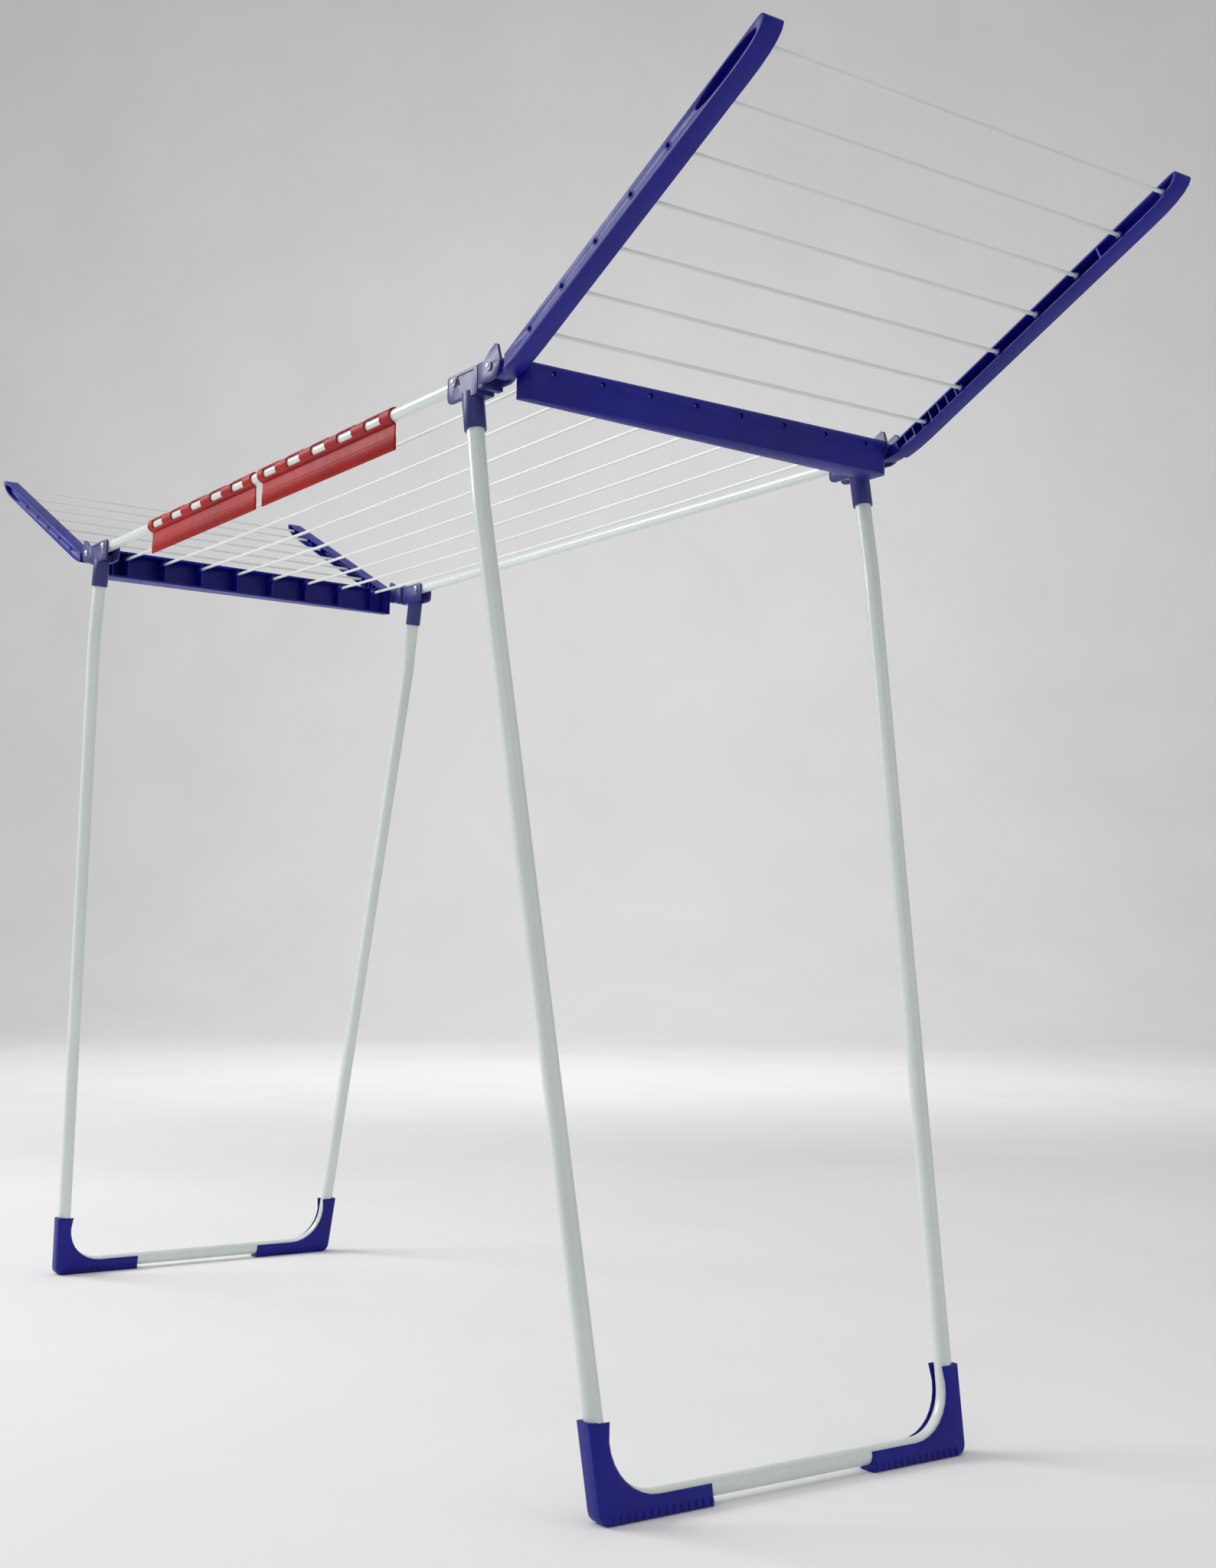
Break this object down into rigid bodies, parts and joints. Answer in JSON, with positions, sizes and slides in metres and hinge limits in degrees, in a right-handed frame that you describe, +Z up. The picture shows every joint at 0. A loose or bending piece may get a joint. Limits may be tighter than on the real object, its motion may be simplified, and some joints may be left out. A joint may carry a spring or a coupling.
{
  "type": "clothes drying rack",
  "caption": "Free-standing clothes drying rack with folding splayed legs, a rectangular line frame, two raised hinged wings and clip-on small-item holders on one rail",
  "frame": {"origin": "centre of the footprint at floor level", "axes": "+X along the long side from one wing to the other, +Y across the rack, +Z up"},
  "size_m": [1.9538, 0.5402, 1.2517],
  "materials": {
    "tube": "white powder coat, satin",
    "line": "white coated steel wire",
    "blue_plastic": "moulded royal blue polypropylene, fine grain, soft sheen",
    "bracket_plastic": "moulded grey-blue polypropylene, fine grain",
    "holder": "moulded red polypropylene, soft sheen",
    "rivet": "bright plated steel"
  },
  "bodies": {
    "top_frame": {"rail_left": "tube", "rail_right": "tube", "end_bar_near": "blue_plastic", "end_bar_far": "blue_plastic", "corner_near_left": "bracket_plastic", "corner_near_right": "bracket_plastic", "corner_far_left": "bracket_plastic", "corner_far_right": "bracket_plastic", "leg_rivet_near_left": "rivet", "leg_rivet_near_right": "rivet", "leg_rivet_far_left": "rivet", "leg_rivet_far_right": "rivet", "wing_rivet_near_left": "rivet", "wing_rivet_near_right": "rivet", "wing_rivet_far_left": "rivet", "wing_rivet_far_right": "rivet", "centre_line_1": "line", "centre_line_2": "line", "centre_line_3": "line", "centre_line_4": "line", "centre_line_5": "line", "centre_line_6": "line", "centre_line_7": "line", "centre_line_8": "line"},
    "near_legs": {"leg_tube_near": "tube", "leg_bracket_near_left": "bracket_plastic", "leg_bracket_near_right": "bracket_plastic", "foot_near_left": "blue_plastic", "foot_near_right": "blue_plastic"},
    "far_legs": {"leg_tube_far": "tube", "leg_bracket_far_left": "bracket_plastic", "leg_bracket_far_right": "bracket_plastic", "foot_far_left": "blue_plastic", "foot_far_right": "blue_plastic"},
    "near_wing": {"wing_arm_near_left": "blue_plastic", "wing_arm_near_right": "blue_plastic", "wing_line_1_near": "line", "wing_line_2_near": "line", "wing_line_3_near": "line", "wing_line_4_near": "line", "wing_line_5_near": "line", "wing_line_6_near": "line", "wing_line_7_near": "line"},
    "far_wing": {"wing_arm_far_left": "blue_plastic", "wing_arm_far_right": "blue_plastic", "wing_line_1_far": "line", "wing_line_2_far": "line", "wing_line_3_far": "line", "wing_line_4_far": "line", "wing_line_5_far": "line", "wing_line_6_far": "line", "wing_line_7_far": "line"},
    "near_holder": {"holder_near": "holder"},
    "far_holder": {"holder_far": "holder"}
  },
  "joints": [
    {"name": "near_legs_hinge", "type": "hinge", "parent": "top_frame", "child": "near_legs", "pos_m": [0.496, 0, 1.064], "axis": [0, 1, 0], "range_deg": [0, 74]},
    {"name": "far_legs_hinge", "type": "hinge", "parent": "top_frame", "child": "far_legs", "pos_m": [-0.496, 0, 1.064], "axis": [0, -1, 0], "range_deg": [0, 89]},
    {"name": "near_wing_hinge", "type": "hinge", "parent": "top_frame", "child": "near_wing", "pos_m": [0.563, 0, 1.064], "axis": [0, -1, 0], "range_deg": [0, 147]},
    {"name": "far_wing_hinge", "type": "hinge", "parent": "top_frame", "child": "far_wing", "pos_m": [-0.563, 0, 1.064], "axis": [0, 1, 0], "range_deg": [0, 147]},
    {"name": "near_holder_slide", "type": "slide", "parent": "top_frame", "child": "near_holder", "axis": [1, 0, 0], "range_m": [-0.008, 0.02]},
    {"name": "far_holder_slide", "type": "slide", "parent": "top_frame", "child": "far_holder", "axis": [1, 0, 0], "range_m": [-0.02, 0.008]}
  ]
}
